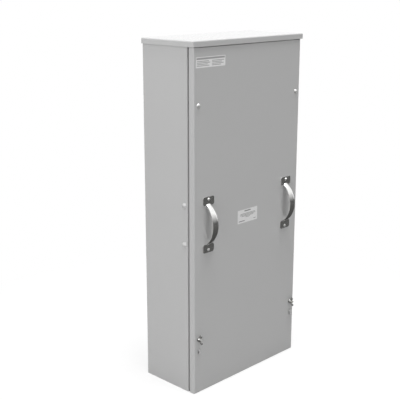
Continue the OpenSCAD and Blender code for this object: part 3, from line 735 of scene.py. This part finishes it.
def place_camera(scene, studio):
    """Camera at the photograph's viewing angle."""
    camera = bpy.data.objects.new("photo_camera", bpy.data.cameras.new("photo_camera"))
    scene.collection.objects.link(camera)
    camera.data.lens = studio.lens
    camera.location = studio.place
    camera.rotation_euler = studio.turn
    scene.camera = camera


# Operators

class PaintSheetMetal(bpy.types.Operator):
    """Powder-coat the body, floor, header, hood, cover and side bolts"""

    bl_idname = "cabinet.paint_sheet_metal"
    bl_label = "Paint Sheet Metal"

    def execute(self, context):
        finish_nodes(PAINTED_NODES, powder_coat(context.scene.cabinet_finishes))
        return {"FINISHED"}


class PolishHandles(bpy.types.Operator):
    """Polish the two bow handles"""

    bl_idname = "cabinet.polish_handles"
    bl_label = "Polish Handles"

    def execute(self, context):
        finish_nodes(HANDLE_NODES, polished_steel(context.scene.cabinet_finishes))
        return {"FINISHED"}


class PlateBrightHardware(bpy.types.Operator):
    """Plate the screws of the cover and handles, and the wing nuts"""

    bl_idname = "cabinet.plate_bright_hardware"
    bl_label = "Plate Bright Hardware"

    def execute(self, context):
        finishes = context.scene.cabinet_finishes
        finish_nodes(SCREW_NODES, bright_plate(
            "nickel_plate", finishes.nickel, finishes.nickel_metal, finishes.nickel_roughness
        ))
        finish_nodes(WING_NODES, bright_plate(
            "wing_nut_zinc", finishes.wing_zinc, finishes.wing_metal, finishes.wing_roughness
        ))
        return {"FINISHED"}


class PlateInnerHardware(bpy.types.Operator):
    """Zinc-plate the studs, brackets, bolts and nuts"""

    bl_idname = "cabinet.plate_inner_hardware"
    bl_label = "Plate Inner Hardware"

    def execute(self, context):
        finish_nodes(ZINC_NODES, zinc_plate(context.scene.cabinet_finishes))
        return {"FINISHED"}


class FinishConductors(bpy.types.Operator):
    """Tin-plate the bus bars, lugs and ground bar, and colour the insulating bars"""

    bl_idname = "cabinet.finish_conductors"
    bl_label = "Finish Conductors"

    def execute(self, context):
        finishes = context.scene.cabinet_finishes
        finish_nodes(BAR_NODES, tin_plate(finishes, "tin_plate_bars", ALONG_BAR))
        finish_nodes(LUG_NODES, tin_plate(finishes, "tin_plate_lugs", ALONG_LUG))
        finish_nodes(BOARD_NODES, insulating_board(finishes))
        return {"FINISHED"}


class StickLabels(bpy.types.Operator):
    """Stick the two labels on the cover"""

    bl_idname = "cabinet.stick_labels"
    bl_label = "Stick Labels"

    def execute(self, context):
        finishes = context.scene.cabinet_finishes
        labels = context.scene.cabinet_labels
        low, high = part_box("cover")
        upper_area = (
            low.x + labels.upper_inset, high.z - labels.upper_drop - labels.upper_height,
            labels.upper_width, labels.upper_height,
        )
        film = printed("label_film", finishes.film, finishes.film_roughness)
        ink = printed("grey_ink", finishes.grey_ink, finishes.ink_roughness)
        make_label("upper_label", upper_area, UPPER_BARS, film, ink, labels)

        centre = (low + high) / 2
        middle_area = (
            centre.x + labels.middle_shift - labels.middle_width / 2,
            centre.z + labels.middle_rise - labels.middle_height / 2,
            labels.middle_width, labels.middle_height,
        )
        film = printed("pale_label_film", finishes.pale_film, finishes.pale_film_roughness)
        ink = printed("text_ink", finishes.text_ink, finishes.ink_roughness)
        make_label("middle_label", middle_area, MIDDLE_BARS, film, ink, labels)
        return {"FINISHED"}


class CutThreads(bpy.types.Operator):
    """Cut the threads that show on the ends of the studs, screws and bolts"""

    bl_idname = "cabinet.cut_threads"
    bl_label = "Cut Threads"

    def execute(self, context):
        hardware = context.scene.cabinet_hardware
        wing_nuts = [middle_of(name) for name in WING_NODES]
        stud_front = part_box("sealing_studs")[0].y
        stud_seats = seats_at([(nut.x, nut.z) for nut in wing_nuts], stud_front, TO_BACK)

        bar_x = [middle_of(name).x for name in BAR_NODES]
        board_z = [middle_of(name).z for name in BOARD_NODES]
        low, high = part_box("bracket_nuts")
        bracket_x = (low.x + hardware.washer_radius, high.x - hardware.washer_radius)
        bar_seats = rear_ends("bar_bolts", [(x, z) for x in bar_x for z in board_z])
        bar_seats += rear_ends("bracket_bolts", [(x, z) for x in bracket_x for z in board_z])

        lug_z = middle_of("lug_bolts").z
        lug_seats = rear_ends("lug_bolts", [(x, lug_z) for x in bar_x])

        screw_places = corner_places("handle_screws", hardware.screw_head)
        screw_seats = rear_ends("handle_screws", screw_places)

        tree = thread_tree()
        zinc = ("zinc_plate", bpy.data.materials["zinc_plate_clear"])
        nickel = ("bright_steel", bpy.data.materials["nickel_plate"])
        tip = hardware.tip
        threads = (
            ("stud_threads", "enclosure", zinc, stud_seats, hardware.stud_radius, hardware.stud_tip),
            ("bar_bolt_threads", "enclosure", zinc, bar_seats, hardware.bolt_radius, tip),
            ("lug_bolt_threads", "enclosure", zinc, lug_seats, hardware.lug_bolt_radius, tip),
            ("handle_screw_threads", "cover", nickel, screw_seats, hardware.screw_radius, tip),
        )
        for name, body, (slot, material), seats, radius, shown in threads:
            piece = grow(name, tree, seats, {
                "Radius": radius, "Turns": shown / hardware.pitch, "Length": shown,
                "Ridge": hardware.ridge, "Material": material,
            })
            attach(piece, body)
        return {"FINISHED"}


class SpotWeldFloor(bpy.types.Operator):
    """Mark the weld spots where the floor's rear edge is joined to the back"""

    bl_idname = "cabinet.spot_weld_floor"
    bl_label = "Spot Weld Floor"

    def execute(self, context):
        hardware = context.scene.cabinet_hardware
        low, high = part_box("bottom_pan")
        first = low.x + hardware.spot_inset
        step = (high.x - hardware.spot_inset - first) / (hardware.spot_count - 1)
        row = [first + index * step for index in range(hardware.spot_count)]
        places = [(x, hardware.spot_height) for x in row]
        seats = seats_at(places, high.y - hardware.sheet, TO_FRONT)
        seats += seats_at(places, high.y + hardware.sheet, TO_BACK)
        piece = grow("floor_weld_spots", weld_tree(), seats, {
            "Radius": hardware.spot_radius, "Crown": hardware.spot_radius * hardware.spot_crown,
            "Rise": hardware.spot_rise, "Material": bpy.data.materials["grey_powder_coat"],
        })
        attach(piece, "enclosure")
        return {"FINISHED"}


class SetStudio(bpy.types.Operator):
    """Set the white background, the floor, the dark card, the lights and the camera"""

    bl_idname = "cabinet.set_studio"
    bl_label = "Set Studio"

    def execute(self, context):
        scene = context.scene
        studio = scene.cabinet_studio
        scene.view_settings.view_transform = "Standard"
        set_world(scene, studio)
        lay_floor(studio)
        lay_card(studio)
        add_sun("overhead_light", studio.overhead, studio.overhead_softness, studio.overhead_from)
        add_sun("side_light", studio.side, studio.softness, studio.side_from)
        front = add_sun("front_light", studio.front, studio.softness, studio.front_from)
        front.visible_glossy = False
        place_camera(scene, studio)
        return {"FINISHED"}


class CabinetPanel(bpy.types.Panel):
    """Lists the cabinet's steps and settings"""

    bl_idname = "VIEW3D_PT_termination_cabinet"
    bl_label = "Termination Cabinet"
    bl_space_type = "VIEW_3D"
    bl_region_type = "UI"
    bl_category = "Cabinet"

    def draw(self, context):
        layout = self.layout
        for operator in STEPS:
            layout.operator(operator.bl_idname)
        for name, group in SETTINGS.items():
            box = layout.box()
            box.label(text=group.__doc__)
            for prop in group.__annotations__:
                box.prop(getattr(context.scene, name), prop)


SETTINGS = {
    "cabinet_finishes": CabinetFinishes,
    "cabinet_labels": CabinetLabels,
    "cabinet_hardware": CabinetHardware,
    "cabinet_studio": CabinetStudio,
}
STEPS = (
    PaintSheetMetal, PolishHandles, PlateBrightHardware, PlateInnerHardware, FinishConductors,
    StickLabels, CutThreads, SpotWeldFloor, SetStudio,
)
CLASSES = (*SETTINGS.values(), *STEPS, CabinetPanel)


def register():
    """Registers the settings, steps and panel."""
    for item in CLASSES:
        bpy.utils.register_class(item)
    for name, group in SETTINGS.items():
        setattr(bpy.types.Scene, name, PointerProperty(type=group))


def unregister():
    """Removes what register added."""
    for name in SETTINGS:
        delattr(bpy.types.Scene, name)
    for item in reversed(CLASSES):
        bpy.utils.unregister_class(item)


def main():
    """Registers the add-on and runs its steps in order."""
    register()
    for operator in STEPS:
        group, step = operator.bl_idname.split(".")
        getattr(getattr(bpy.ops, group), step)()


if __name__ == "__main__":
    main()
